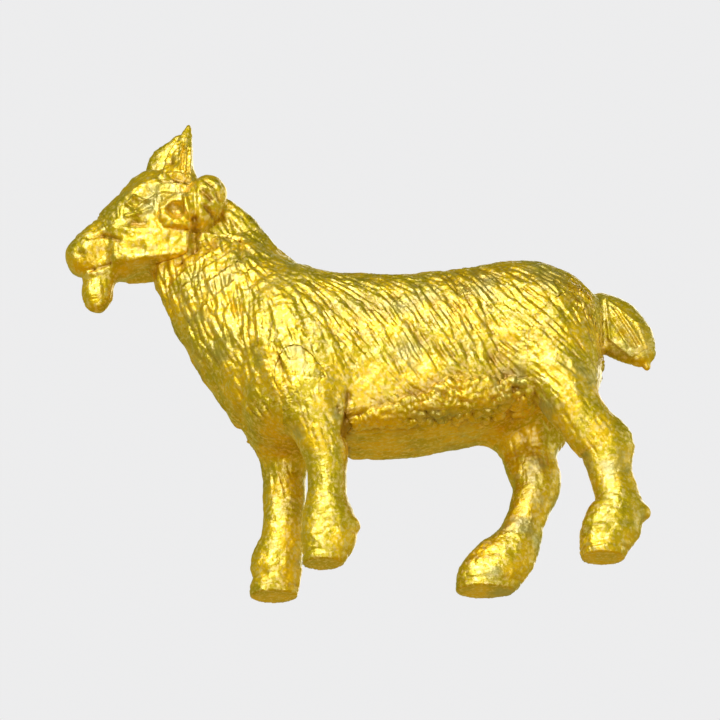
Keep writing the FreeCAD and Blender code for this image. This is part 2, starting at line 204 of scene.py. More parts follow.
# ---------------------------------------------------------------- distances
# Guards against division by nothing.
TINY, SMALL = 1e-9, 1e-6


def unit(vectors):
    return vectors / np.maximum(np.linalg.norm(vectors, axis=1), TINY)[:, None]


def smooth_min(a, b, radius):
    """Union with a fillet about as large as radius."""
    share = np.maximum(radius - np.abs(a - b), 0.0) / radius
    return np.minimum(a, b) - share * share * radius / 4


def smooth_max(a, b, radius):
    return -smooth_min(-a, -b, radius)


def resample(rows, per_span):
    """Rows of a section table with a smooth curve through them, per_span steps from row to row."""
    rows = np.array(rows, float)
    padded = np.vstack([2 * rows[0] - rows[1], rows, 2 * rows[-1] - rows[-2]])
    out = []
    for before, start, end, after in zip(padded, padded[1:], padded[2:], padded[3:]):
        for t in np.arange(per_span) / per_span:
            slope = end - before
            bend = 2 * before - 5 * start + 4 * end - after
            rest = 3 * start - before - 3 * end + after
            out.append(0.5 * (2 * start + slope * t + bend * t**2 + rest * t**3))
    out.append(rows[-1])
    return np.array(out)


def ellipsoid_distance(u, v, w, a, b, c):
    """Distance of (u, v, w) from an ellipsoid, or from each of a list of ellipsoids, about its centre."""
    scaled = np.sqrt((u / a) ** 2 + (v / b) ** 2 + (w / c) ** 2)
    steep = np.sqrt((u / a**2) ** 2 + (v / b**2) ** 2 + (w / c**2) ** 2)
    centre = -np.minimum(np.minimum(a, b), c)
    return np.where(steep > SMALL, scaled * (scaled - 1) / np.maximum(steep, SMALL), centre)


class Tube:
    """Elliptical sections swept along a curve, with a rounded end. Each point is measured from the two spans
    whose middles are nearest."""

    NEAREST = 2
    ROUND_END = 0.8

    def __init__(self, rows, per_span=3):
        sections = resample(rows, per_span)
        self.start, self.start_radius = sections[:-1, :3], sections[:-1, 3:]
        self.radius_change = np.diff(sections[:, 3:], axis=0)
        run = np.diff(sections[:, :3], axis=0)
        self.middle = self.start + run / 2
        self.length = np.linalg.norm(run, axis=1)
        self.axis = run / self.length[:, None]
        self.deep = unit(np.stack([self.axis[:, 2], np.zeros(len(run)), -self.axis[:, 0]], axis=1))
        self.wide = np.cross(self.deep, self.axis)

    def __call__(self, points):
        gap = (self.middle**2).sum(1) - 2 * points @ self.middle.T
        nearest = np.argpartition(gap, self.NEAREST, axis=1)[:, :self.NEAREST]
        return np.minimum.reduce([self.span_distance(points, span) for span in nearest.T])

    def span_distance(self, points, span):
        offset = points - self.start[span]
        along = (offset * self.axis[span]).sum(1)
        share = np.clip(along / self.length[span], 0, 1)
        radius = self.start_radius[span] + self.radius_change[span] * share[:, None]
        past = along - share * self.length[span]
        across, aside = (offset * self.deep[span]).sum(1), (offset * self.wide[span]).sum(1)
        cap = self.ROUND_END * radius.min(1)
        return ellipsoid_distance(across, aside, past, radius[:, 0], radius[:, 1], cap)


class Ellipsoid:
    def __init__(self, centre, size, tilt=0.0):
        """tilt turns it about Y, from +X towards -Z, in degrees."""
        self.centre = np.array(centre, float)
        self.size = np.array(size, float)
        angle = math.radians(tilt)
        self.x_axis = np.array([math.cos(angle), 0, -math.sin(angle)])
        self.z_axis = np.array([math.sin(angle), 0, math.cos(angle)])

    def __call__(self, points):
        offset = points - self.centre
        return ellipsoid_distance(offset @ self.x_axis, offset[:, 1], offset @ self.z_axis, *self.size)


class Trunk:
    """Rounded sections along X, cut off flat at the belly. POWER 2 would make them ellipses, and more makes
    them squarer. BELOW_BELLY is how deep the uncut section would reach, as a share of the depth to the belly.
    """

    POWER = 2.3
    BELOW_BELLY = 1.5
    BELLY_FILLET = 1.3
    LEAST_SLOPE = 0.05

    def __init__(self, rows, per_span=6):
        self.table = resample(rows, per_span)

    def __call__(self, points):
        x = np.clip(points[:, 0], self.table[0, 0], self.table[-1, 0])
        top, bottom, middle, half = (np.interp(x, self.table[:, 0], self.table[:, k]) for k in range(1, 5))
        rise = points[:, 2] - middle
        tall = np.where(rise > 0, top - middle, (middle - bottom) * self.BELOW_BELLY)
        power = self.POWER
        v = np.abs(points[:, 1]) / half + SMALL
        w = np.abs(rise) / tall + SMALL
        scaled = (v**power + w**power) ** (1 / power)
        slope = np.sqrt((v ** (power - 1) / half) ** 2 + (w ** (power - 1) / tall) ** 2)
        steep = scaled ** (1 - power) * slope
        side = (scaled - 1) / np.maximum(steep, self.LEAST_SLOPE)
        side = smooth_max(side, bottom - points[:, 2], self.BELLY_FILLET)
        beyond = np.abs(points[:, 0] - x)
        return np.where(beyond > 0, np.sqrt(np.maximum(side, 0) ** 2 + beyond**2), side)


def folded(points):
    """Points of the right side brought to the left side, for parts that are the same on both."""
    out = points.copy()
    out[:, 1] = -np.abs(out[:, 1])
    return out


def flipped(points):
    out = points.copy()
    out[:, 1] *= -1
    return out


trunk = Trunk(TRUNK)
neck = Tube(NECK)
mane = Tube(MANE)
skull = Tube(SKULL)
chin = Tube(CHIN)
beard = Tube(BEARD)
tail_tube = Tube(TAIL)
left_horn = Tube(LEFT_HORN)
right_horn = Tube(RIGHT_HORN)
leg_tubes = {
    "left_foreleg": Tube(LEFT_FORELEG),
    "right_foreleg": Tube(RIGHT_FORELEG),
    "left_hind_leg": Tube(LEFT_HIND_LEG),
    "right_hind_leg": Tube(RIGHT_HIND_LEG),
}
brow = Ellipsoid((-18.6, -1.9, 35.4), (1.9, 0.8, 0.9), -30)
nose_pad = Ellipsoid((-23.4, -0.6, 30.3), (1.2, 1.1, 1.5), 25)
poll = Ellipsoid((-15.6, -0.9, 36.2), (1.9, 1.5, 1.3), -15)
ear_front = Ellipsoid((-15.6, -2.2, 33.2), (1.7, 1.25, 1.7), -10)
ear_lump = Ellipsoid((-13.25, -2.0, 34.8), (1.7, 1.5, 2.2), 20)
ear_root = Ellipsoid((-13.9, -1.6, 33.4), (1.6, 1.5, 1.6), 0)
concha = Ellipsoid((-15.75, -3.75, 33.1), (1.05, 0.95, 1.05), -10)
tail_thorn = Ellipsoid((24.3, 0, 20.0), (0.3, 0.3, 0.6), -10)
# Small spurs at the back of the near fetlocks.
spurs = {
    "left_foreleg": Ellipsoid((-0.75, -3.1, 3.5), (0.8, 0.7, 0.7), 15),
    "left_hind_leg": Ellipsoid((23.45, -4.0, 4.3), (0.9, 0.7, 0.8), 15),
}


# From here to tail_distance, the last number of each smooth_min and smooth_max is its fillet in mm.

CHEEK_REAR, CHEEK_FRONT, CHEEK_TOP = -14.65, -21.3, 34.0
# The jaw's lower side: its height, and how it climbs behind the chin.
JAW_LEVEL, JAW_SLOPE, JAW_BEND = 28.75, 0.14, -19.5
# The plate's outside: its half width at the middle, where that is, and how much it falls off round it.
CHEEK_HALF_WIDTH, CHEEK_X, CHEEK_Z, CHEEK_ROUNDING = 2.65, -17.6, 31.6, 0.035


def cheek_plate(half):
    """The cheek: a plate with a flat lower side and an upright rear edge that stands out from the neck."""
    x, y, z = half.T
    rear = x - CHEEK_REAR
    below = JAW_LEVEL + JAW_SLOPE * np.maximum(x - JAW_BEND, 0) - z
    above = z - CHEEK_TOP
    front = CHEEK_FRONT - x
    bulge = -y - CHEEK_HALF_WIDTH + CHEEK_ROUNDING * ((x - CHEEK_X) ** 2 + (z - CHEEK_Z) ** 2)
    plate = smooth_max(smooth_max(rear, below, 0.9), smooth_max(above, front, 1.0), 0.6)
    return smooth_max(plate, bulge, 0.5)


def casing_distance(points):
    body = smooth_min(trunk(points), neck(points), 3.0)
    return smooth_min(body, mane(points), 1.2)


def leg_distance(name):
    def distance(points):
        leg = leg_tubes[name](points)
        if name in spurs:
            leg = smooth_min(leg, spurs[name](points), 0.4)
        return np.maximum(leg, -points[:, 2])

    return distance


def head_distance(points):
    half = folded(points)
    body = smooth_min(skull(points), cheek_plate(half), 0.5)
    body = smooth_min(body, brow(half), 0.7)
    body = smooth_min(body, nose_pad(half), 0.8)
    body = smooth_min(body, poll(half), 1.0)
    body = smooth_min(body, chin(points), 0.6)
    return smooth_min(body, beard(points), 0.5)


def ear_distance(side):
    def distance(points):
        pts = points if side == LEFT else flipped(points)
        ear = smooth_min(smooth_min(ear_front(pts), ear_lump(pts), 1.2), ear_root(pts), 0.8)
        return smooth_max(ear, -concha(pts), 0.25)

    return distance


def tail_distance(points):
    return smooth_min(tail_tube(points), tail_thorn(points), 0.3)


# For each group, its distance and a box that holds every place where it matters.
GROUPS = {
    "casing": (casing_distance, (-19, -7, 11), (22, 7, 37)),
    "left_foreleg": (leg_distance("left_foreleg"), (-11, -8, -2), (2, 1, 28)),
    "right_foreleg": (leg_distance("right_foreleg"), (-12, -1, -2), (1, 8, 28)),
    "left_hind_leg": (leg_distance("left_hind_leg"), (9, -9, -2), (27, 1, 29)),
    "right_hind_leg": (leg_distance("right_hind_leg"), (6, -1, -2), (22, 8, 29)),
    "head": (head_distance, (-28, -6, 22), (-10, 6, 41)),
    "left_horn": (left_horn, (-19, -5, 34), (-11, 2, 44)),
    "right_horn": (right_horn, (-20, -2, 34), (-12, 5, 44)),
    "left_ear": (ear_distance(LEFT), (-19, -7, 30), (-9, 0, 39)),
    "right_ear": (ear_distance(RIGHT), (-19, 0, 30), (-9, 7, 39)),
    "tail": (tail_distance, (17, -4, 17), (27, 4, 29)),
}
# How far each group's fillet to the rest reaches, in the order of blending.
FILLETS = {
    "casing": 0.1,
    "left_foreleg": 1.6,
    "right_foreleg": 1.6,
    "left_hind_leg": 2.0,
    "right_hind_leg": 2.0,
    "tail": 0.5,
    "head": 0.25,
    "left_horn": 0.35,
    "right_horn": 0.35,
    "left_ear": 0.3,
    "right_ear": 0.3,
}


def group_distances(points, names):
    found = {}
    for name in names:
        distance, low, high = GROUPS[name]
        near = np.flatnonzero(np.all((points > low) & (points < high), axis=1))
        values = np.full(len(points), FAR)
        if len(near):
            values[near] = distance(points[near])
        found[name] = values
    return found


def blended(found):
    body = None
    for name, fillet in FILLETS.items():
        if name in found:
            body = found[name] if body is None else smooth_min(body, found[name], fillet)
    return body


def whole(points):
    return blended(group_distances(points, GROUPS))


def share_of(group, found):
    """Negative where a point belongs to the group, positive where another group is nearer."""
    others = np.min([values for name, values in found.items() if name != group], axis=0)
    return 0.5 * (found[group] - others)


def gradient(fields, points, step=0.02):
    """Values of one or more fields at the points, and the gradient of each there."""
    value = fields(points)
    slope = np.empty(value.shape + (3,))
    for axis in range(3):
        moved = points.copy()
        moved[:, axis] += step
        slope[..., axis] = (fields(moved) - value) / step
    return value, slope


LEAST_SQUARED_SLOPE = 0.09


def step_onto(value, slope, limit=0.15):
    """The step that takes points onto the zero surface of a field, at most limit long."""
    step = -slope * (value / np.maximum((slope**2).sum(1), LEAST_SQUARED_SLOPE))[:, None]
    size = np.linalg.norm(step, axis=1)
    return step * np.minimum(1, limit / np.maximum(size, TINY))[:, None]


# ---------------------------------------------------------------- meshing
def corner_slices(shape, offset):
    return tuple(slice(o, n - 1 + o) for o, n in zip(offset, shape))


def cell_vertices(values):
    """Surface nets: for each cell that the surface crosses, the mean of its edge crossings, in cell units."""
    shape = values.shape
    cells = tuple(n - 1 for n in shape)
    total = np.zeros(cells + (3,), np.float32)
    count = np.zeros(cells, np.float32)
    for axis in range(3):
        others = [k for k in range(3) if k != axis]
        for first in (0, 1):
            for second in (0, 1):
                low_corner = [0, 0, 0]
                low_corner[others[0]], low_corner[others[1]] = first, second
                high_corner = list(low_corner)
                high_corner[axis] = 1
                low = values[corner_slices(shape, low_corner)]
                high = values[corner_slices(shape, high_corner)]
                crossed = (low < 0) != (high < 0)
                where = np.where(crossed, low / np.where(crossed, low - high, 1), 0)
                total[..., axis] += where
                for other, part in zip(others, (first, second)):
                    total[..., other] += crossed * part
                count += crossed
    return total, count


def cell_faces(values, index):
    """One quad for each grid edge that the surface crosses, turned so that its normal points outwards."""
    inside = values < 0
    quads = []
    for axis in range(3):
        one, two = (axis + 1) % 3, (axis + 2) % 3
        low_cut, high_cut = [slice(1, -1)] * 3, [slice(1, -1)] * 3
        low_cut[axis], high_cut[axis] = slice(0, -1), slice(1, None)
        low, high = inside[tuple(low_cut)], inside[tuple(high_cut)]
        for leaving in (True, False):
            at = np.argwhere((low != high) & (low == leaving))
            at[:, one] += 1
            at[:, two] += 1
            steps = np.zeros((4, 3), int)
            steps[1, one] = steps[2, one] = -1
            steps[2, two] = steps[3, two] = -1
            corners = at[:, None, :] + steps
            found = index[corners[..., 0], corners[..., 1], corners[..., 2]]
            quads.append(found if leaving else found[:, ::-1])
    return np.concatenate(quads)


OUTSIDE, CREASE, CUT = 0, 1, 2


def net(fields, low, high, size):
    """Meshes the solid where both fields are negative. Every vertex is marked as on the outside, on the cut
    or on the crease between them."""
    axes = [np.arange(a, b + size, size) for a, b in zip(low, high)]
    grid = np.stack(np.meshgrid(*axes, indexing="ij"), -1)
    shape = grid.shape[:3]
    outer, limit = fields(grid.reshape(-1, 3)).T
    values = np.maximum(outer, limit).reshape(shape)
    total, count = cell_vertices(values)
    active = count > 0
    index = np.full(active.shape, -1)
    index[active] = np.arange(active.sum())
    where = np.argwhere(active) + total[active] / count[active][:, None]
    points = where * size + np.array([a[0] for a in axes])
    ruled_by_limit = (limit > outer).reshape(shape)
    corners = [ruled_by_limit[corner_slices(shape, corner)][active] for corner in np.ndindex(2, 2, 2)]
    votes = np.sum(corners, axis=0)
    kind = np.where(votes == 0, OUTSIDE, np.where(votes == len(corners), CUT, CREASE))
    return points, cell_faces(values, index), kind


def settle(points, kind, fields, rounds):
    """Moves each vertex onto the surface or surfaces that it belongs to. Returns the outer normals too."""
    pts = points.copy()
    for _ in range(rounds):
        value, slope = gradient(fields, pts)
        to_outside = step_onto(value[:, 0], slope[:, 0])
        to_cut = step_onto(value[:, 1], slope[:, 1])
        pts += np.where((kind != CUT)[:, None], to_outside, 0)
        pts += np.where((kind != OUTSIDE)[:, None], to_cut, 0)
    return pts, unit(slope[:, 0])


def halve(points, quads, kind):
    """Splits each quad into four."""
    edges = np.concatenate([np.sort(quads[:, [k, (k + 1) % 4]], axis=1) for k in range(4)])
    unique, back = np.unique(edges, axis=0, return_inverse=True)
    back = back.reshape(4, -1)
    middles = points[unique].mean(1)
    ends = kind[unique]
    middle_kind = np.where(ends[:, 0] == ends[:, 1], ends[:, 0], np.where((ends == CUT).any(1), CUT, OUTSIDE))
    centres = points[quads].mean(1)
    centre_kind = np.where((kind[quads] == CUT).any(1), CUT, OUTSIDE)
    first_middle, first_centre = len(points), len(points) + len(unique)
    centre = first_centre + np.arange(len(quads))
    small = []
    for k in range(4):
        after, before = first_middle + back[k], first_middle + back[k - 1]
        small.append(np.stack([quads[:, k], after, centre, before], axis=1))
    return (np.concatenate([points, middles, centres]), np.concatenate(small),
            np.concatenate([kind, middle_kind, centre_kind]))


# ---------------------------------------------------------------- relief
def lattice_noise(points, size, seed):
    """Smooth noise from -1 to 1 with features about as large as size. The large numbers only scramble each
    lattice place into a value of its own."""
    scaled = points / size
    cell = np.floor(scaled).astype(np.int64)
    part = scaled - cell
    ease = part * part * (3 - 2 * part)
    total = np.zeros(len(points))
    for corner in np.ndindex(2, 2, 2):
        at = cell + corner
        mixed = at[:, 0] * 73856093 ^ at[:, 1] * 19349663 ^ at[:, 2] * 83492791 ^ seed * 2654435761
        mixed = (mixed ^ (mixed >> 13)) * 1274126177
        value = ((mixed ^ (mixed >> 16)) & 0xFFFF) / 32767.5 - 1
        weight = np.prod(np.where(corner, ease, 1 - ease), axis=1)
        total += value * weight
    return total


# Coat direction and strength, seen from the side: x, z, then how the hair runs in x and z, its depth in mm
# and its half length in mm.
COAT = [
    (-14.5, 31.0, 0.35, -1.0, 0.18, 1.7),
    (-16.0, 27.0, 0.25, -1.0, 0.23, 1.9),
    (-12.0, 27.5, 0.10, -1.0, 0.27, 2.0),
    (-9.0, 31.0, 0.60, -0.8, 0.18, 1.7),
    (-13.5, 22.5, 0.45, -1.0, 0.25, 1.9),
    (-10.0, 23.0, 0.15, -1.0, 0.27, 2.0),
    (-9.5, 17.0, 0.45, -1.0, 0.14, 1.3),
    (-5.0, 27.5, 0.95, -0.4, 0.06, 1.1),
    (-5.0, 23.5, 0.50, -0.9, 0.10, 1.3),
    (-4.5, 19.0, 0.30, -1.0, 0.07, 1.1),
    (-1.5, 25.0, 0.75, -0.65, 0.14, 1.5),
    (-0.5, 21.0, 0.60, -0.8, 0.15, 1.7),
    (4.0, 27.5, 1.0, -0.35, 0.07, 1.2),
    (4.0, 24.0, 0.50, -0.85, 0.16, 1.8),
    (4.0, 19.0, 0.45, -0.9, 0.15, 1.7),
    (9.0, 25.5, 0.45, -0.9, 0.17, 1.9),
    (9.0, 20.0, 0.40, -0.9, 0.16, 1.7),
    (12.0, 28.5, 0.85, -0.5, 0.08, 1.2),
    (13.5, 25.0, 0.55, -0.8, 0.14, 1.6),
    (16.5, 26.0, 0.70, -0.7, 0.14, 1.5),
    (18.5, 22.0, 0.45, -0.9, 0.11, 1.3),
    (14.5, 20.5, 0.75, -0.65, 0.12, 1.5),
    (17.0, 17.0, 0.75, -0.65, 0.10, 1.3),
    (19.5, 13.5, 0.55, -0.8, 0.06, 1.0),
    (14.5, 12.0, 0.10, -1.0, 0.05, 1.0),
    (-4.0, 13.0, 0.20, -1.0, 0.06, 1.1),
    (0.0, 14.0, 0.90, -0.3, 0.05, 1.0),
    (8.0, 14.5, 0.95, -0.2, 0.05, 1.0),
]
# A row's weight falls to about a third at this squared distance, in square mm.
COAT_SPREAD = 6.0


def coat_at(points):
    """Direction, depth and half length of the hair at each point, blended from the COAT table."""
    table = np.array(COAT)
    gap = (points[:, None, 0] - table[:, 0]) ** 2 + (points[:, None, 2] - table[:, 1]) ** 2
    weight = np.exp(-gap / COAT_SPREAD) + TINY / (gap + 0.1)
    weight /= weight.sum(1)[:, None]
    mixed = weight @ table[:, 2:]
    run = np.stack([mixed[:, 0], np.zeros(len(points)), mixed[:, 1]], axis=1)
    return unit(run), mixed[:, 2], mixed[:, 3]


# Each step is a cautious share of the distance left, within the bounds BACK and AHEAD.
CAST_STEPS, CAST_CAUTION, CAST_BACK, CAST_AHEAD, REACHED = 30, 0.85, -0.4, 1.2, 0.05


def cast(starts, direction):
    """Walks points along one direction to the goat's surface. Returns those that reach it."""
    pts = starts.copy()
    for _ in range(CAST_STEPS):
        pts += np.clip(whole(pts), CAST_BACK, CAST_AHEAD)[:, None] * np.array(direction, float) * CAST_CAUTION
    return pts[np.abs(whole(pts)) < REACHED]


def scatter(random, count, low, high, height, down):
    """Random points cast onto the goat. low and high bound the plane they start from, height places it, and
    down is the axis they travel along with its sign."""
    axis, sign = down
    starts = np.empty((count, 3))
    others = [k for k in range(3) if k != axis]
    for k, a, b in zip(others, low, high):
        starts[:, k] = random.uniform(a, b, count)
    starts[:, axis] = height
    direction = [0.0, 0.0, 0.0]
    direction[axis] = sign
    return cast(starts, direction)


# Where strokes start from: what the count is divided by, the bounds of the start plane, its height, and the
# axis and sign of the way they go.
STROKE_SOURCES = [
    (1, (-18.5, 9.0), (22.0, 36.0), -8.0, (1, 1.0)),
    (1, (-18.5, 9.0), (22.0, 36.0), 8.0, (1, -1.0)),
    (3, (-13.0, -5.0), (21.0, 5.0), 38.0, (2, -1.0)),
    (6, (-9.0, -4.5), (16.0, 4.5), 8.0, (2, 1.0)),
]
HAIRLESS = ("head", "left_ear", "right_ear", "tail")
HAIRLESS_MARGIN = 0.7
LENGTH_SPREAD, DEPTH_SPREAD = (0.7, 1.3), (0.5, 1.3)


def clearance(points, names):
    """Distance of each point to the nearest of some groups."""
    return np.minimum.reduce(list(group_distances(points, names).values()))


def make_strokes(seed, count, spread, width, wanted):
    """Strokes of carved hair, from count roots on each side. wanted picks the roots to keep, from x and z."""
    random = np.random.default_rng(seed)
    sources = [scatter(random, count // divisor, *source) for divisor, *source in STROKE_SOURCES]
    roots = np.concatenate(sources)
    roots = roots[(clearance(roots, HAIRLESS) > HAIRLESS_MARGIN) & wanted(roots[:, 0], roots[:, 2])]
    normal = unit(gradient(whole, roots)[1])
    run, depth, length = coat_at(roots)
    angle = random.normal(0, spread, len(roots))
    turned = run * np.cos(angle)[:, None] + np.cross(normal, run) * np.sin(angle)[:, None]
    along = unit(turned - normal * (turned * normal).sum(1)[:, None])
    return {
        "root": roots,
        "normal": normal,
        "along": along,
        "across": np.cross(normal, along),
        "length": length * random.uniform(*LENGTH_SPREAD, len(roots)),
        "width": random.uniform(*width, len(roots)),
        "height": depth * random.uniform(*DEPTH_SPREAD, len(roots)),
    }


# The locks of the neck and chest end along a line that leans back as it climbs: its x at one level, and how
# far it leans for each mm above that.
LOCKS_END, LOCKS_LEVEL, LOCKS_LEAN = -5.5, 22, 0.25
LOCKS_LOWEST, GROOVES_LOWEST = 14, 10


def on_neck(x, z):
    """True on neck and chest, where the hair stands out in locks."""
    return (x < LOCKS_END + LOCKS_LEAN * (z - LOCKS_LEVEL)) & (z > LOCKS_LOWEST)


def on_flank(x, z):
    """True on trunk, shoulders and thighs, where the hair is cut in as thin grooves."""
    return ~on_neck(x, z) & (z > GROOVES_LOWEST)


# The band of curls, laid on along the camera's line of sight, which looks up at the goat. The band climbs and
# widens towards the rear. It starts higher on the right, clear of the belly's edge in the camera's view.
CAMERA_ELEVATION = math.radians(-26)
CURLS = 340
CURL_SPAN = (-0.5, 14.5)
CURLS_FROM = {LEFT: 13.9, RIGHT: 16.5}
BAND_CLIMB, BAND_WIDENING, BAND_LEAST, BAND_MOST = 0.06, 0.42, 1.0, 4.2
CURL_RADIUS, CURL_HEIGHT, CURL_MARGIN = (0.32, 0.50), (0.36, 0.54), 0.4


def make_curls():
    """Tight curls of fleece in a band along the lower flank."""
    random = np.random.default_rng(23)
    rise, outside = math.tan(-CAMERA_ELEVATION), 9.0
    starts = []
    for side, lowest in CURLS_FROM.items():
        x = random.uniform(*CURL_SPAN, CURLS)
        band = np.clip(BAND_LEAST + BAND_WIDENING * x, BAND_LEAST, BAND_MOST)
        height = random.uniform(0, 1, CURLS) * band
        z = lowest + BAND_CLIMB * x + height - rise * outside
        points = np.stack([x, np.full(CURLS, side * outside), z], axis=1)
        direction = (0, -side * math.cos(CAMERA_ELEVATION), -math.sin(CAMERA_ELEVATION))
        starts.append(cast(points, direction))
    roots = np.concatenate(starts)
    roots = roots[clearance(roots, [name for name in GROUPS if name != "casing"]) > CURL_MARGIN]
    count = len(roots)
    return {
        "root": roots,
        "normal": unit(gradient(whole, roots)[1]),
        "radius": random.uniform(*CURL_RADIUS, count),
        "height": random.uniform(*CURL_HEIGHT, count),
    }


CELL = 2.4


def by_cell(points, features, reach, shape_of):
    """Largest feature height at each point, taken cell by cell with the features near each cell."""
    result = np.zeros(len(points))
    cell = np.floor(points / CELL).astype(int)
    unique, back = np.unique(cell, axis=0, return_inverse=True)
    back = back.ravel()
    order = np.argsort(back, kind="stable")
    starts = np.searchsorted(back[order], np.arange(len(unique) + 1))
    for number, corner in enumerate(unique):
        low, high = corner * CELL - reach, (corner + 1) * CELL + reach
        near = np.flatnonzero(np.all((features["root"] > low) & (features["root"] < high), axis=1))
        if len(near):
            members = order[starts[number]:starts[number + 1]]
            offset = points[members][:, None, :] - features["root"][near]
            local = {key: value[near] for key, value in features.items()}
            result[members] = shape_of(offset, local).max(1)
    return result


# How much a stroke narrows towards its tip, and how far off its plane it still shows.
STROKE_TAPER, STROKE_THICKNESS = 0.35, 1.2
# A curl's bed: its depth, its share in the curl's middle before that is limited to 1, and how much of the
# share is lost in each curl radius.
BED_DEPTH, BED_FULL, BED_FALL = 0.18, 1.6, 0.5


def stroke_shape(offset, near):
    """Height of a long low bump that is wider at its root than at its tip."""
    along = (offset * near["along"]).sum(2) / near["length"]
    across = (offset * near["across"]).sum(2) / near["width"]
    away = (offset * near["normal"]).sum(2)
    narrowing = 1 - STROKE_TAPER * np.clip(along, -1, 1)
    rounding = np.sqrt(np.maximum(1 - (across / narrowing) ** 2, 0))
    fading = np.maximum(1 - along**2, 0)
    return near["height"] * rounding * fading * (np.abs(away) < STROKE_THICKNESS)


def curl_shape(offset, near):
    left = 1 - (offset**2).sum(2) / near["radius"] ** 2
    return near["height"] * np.sqrt(np.maximum(left, 0))


def curl_bed(offset, near):
    """How far a point is sunk because there are curls around it. The sunk gaps also take the paint's brown
    painted shade.
    """
    return BED_DEPTH * np.clip(BED_FULL - BED_FALL * np.sqrt((offset**2).sum(2)) / near["radius"], 0, 1)


# Marks seen from the side, the same on both sides. Each runs from one point to another, given as x and z, and
# has a half width and a height in mm. A negative height is a groove.
FACE_MARKS = [
    ((-19.9, 34.05), (-19.3, 34.65), 0.16, 0.20),
    ((-19.3, 34.65), (-18.3, 34.15), 0.16, 0.20),
    ((-19.9, 34.05), (-19.2, 33.35), 0.16, 0.18),
    ((-19.2, 33.35), (-18.3, 34.15), 0.16, 0.18),
    ((-19.3, 34.0), (-19.1, 34.0), 0.20, -0.14),
    ((-20.65, 34.5), (-20.65, 32.9), 0.16, 0.14),
    ((-18.3, 34.15), (-17.5, 34.7), 0.16, 0.18),
    ((-17.5, 34.7), (-17.4, 32.9), 0.18, 0.16),
    ((-20.0, 32.85), (-18.9, 33.0), 0.18, 0.16),
    ((-18.9, 33.0), (-17.8, 33.4), 0.18, 0.16),
    ((-19.5, 32.2), (-18.5, 32.2), 0.40, -0.26),
    ((-21.9, 32.1), (-20.0, 31.6), 0.40, 0.12),
    ((-20.0, 31.6), (-15.6, 31.3), 0.45, 0.10),
    ((-23.2, 31.2), (-22.0, 31.45), 0.20, -0.16),
    ((-22.0, 31.45), (-20.6, 30.7), 0.22, -0.20),
    ((-19.4, 29.9), (-18.8, 29.9), 0.45, -0.18),
    ((-16.2, 30.7), (-15.9, 30.9), 0.30, -0.14),
    ((-14.85, 31.9), (-14.85, 29.7), 0.18, 0.16),
    ((-15.1, 29.5), (-19.8, 28.9), 0.18, 0.12),
    ((-24.0, 29.8), (-23.7, 29.6), 0.50, -0.16),
    ((-24.2, 28.3), (-22.8, 28.5), 0.17, -0.20),
    ((-22.8, 28.5), (-21.4, 28.8), 0.17, -0.20),
    ((-23.4, 28.0), (-21.8, 28.2), 0.20, 0.12),
    ((-22.8, 26.6), (-22.6, 25.9), 0.35, -0.12),
    ((-21.9, 27.4), (-21.8, 26.4), 0.20, -0.10),
]
EAR_MARKS = [
    ((-17.15, 34.8), (-16.9, 32.4), 0.20, 0.20),
    ((-16.8, 34.9), (-15.0, 34.6), 0.26, 0.22),
    ((-14.95, 34.2), (-14.55, 32.4), 0.20, 0.30),
    ((-16.6, 31.9), (-14.7, 31.9), 0.22, 0.24),
    ((-16.1, 33.6), (-15.6, 33.4), 0.55, -0.20),
    ((-14.15, 35.2), (-14.05, 32.4), 0.26, -0.14),
    ((-13.3, 36.0), (-12.5, 35.3), 0.22, -0.20),
    ((-13.5, 34.8), (-12.7, 34.1), 0.26, -0.26),
    ((-12.3, 34.9), (-12.0, 34.2), 0.20, -0.22),
    ((-13.2, 33.4), (-12.5, 32.8), 0.24, -0.24),
    ((-12.9, 35.1), (-12.4, 34.9), 0.20, 0.16),
]
HORN_MARKS = [
    ((-17.1, 36.9), (-14.6, 36.7), 0.18, 0.24),
    ((-17.0, 36.3), (-14.4, 36.1), 0.16, -0.16),
    ((-15.35, 40.2), (-15.55, 37.4), 0.10, 0.13),
    ((-14.95, 40.7), (-15.05, 37.2), 0.10, 0.15),
    ((-14.6, 39.8), (-14.6, 37.3), 0.10, 0.12),
    ((-15.15, 40.2), (-15.3, 37.4), 0.09, -0.12),
    ((-14.8, 40.0), (-14.8, 37.4), 0.09, -0.12),
    ((-16.3, 38.6), (-16.1, 38.0), 0.38, -0.24),
    ((-16.75, 37.3), (-16.6, 38.7), 0.12, 0.14),
    ((-16.6, 38.7), (-15.8, 40.3), 0.12, 0.14),
]
TAIL_MARKS = [
    ((20.9, 25.5), (21.2, 21.9), 0.14, 0.15),
    ((20.9, 25.6), (23.6, 23.3), 0.14, 0.15),
    ((23.6, 23.3), (24.4, 21.1), 0.14, 0.15),
    ((21.2, 21.9), (23.5, 19.9), 0.14, 0.15),
    ((21.3, 24.8), (23.4, 21.2), 0.14, 0.14),
    ((22.1, 24.4), (23.9, 21.4), 0.12, 0.12),
    ((21.7, 24.6), (23.6, 21.3), 0.12, -0.15),
    ((21.4, 23.6), (22.9, 21.1), 0.18, -0.16),
]
BODY_MARKS = [
    ((-0.9, 14.8), (-1.2, 11.4), 0.30, -0.26),
    ((-1.8, 13.4), (-1.7, 13.0), 0.22, -0.22),
    ((11.3, 17.9), (14.4, 12.9), 0.60, -0.12),
    ((-7.9, 22.5), (-6.9, 17.0), 0.50, -0.18),
    ((-14.1, 32.2), (-14.1, 29.9), 0.34, -0.27),
    ((-14.1, 29.9), (-15.4, 28.7), 0.36, -0.27),
    ((-12.9, 30.8), (-12.7, 30.3), 0.40, -0.22),
    ((-12.6, 31.9), (-10.3, 30.8), 0.18, -0.22),
    ((-10.2, 30.8), (-10.1, 27.8), 0.18, -0.20),
    ((-13.4, 31.6), (-12.2, 31.3), 0.20, 0.16),
]
BARE_MIDDLE = 0.4


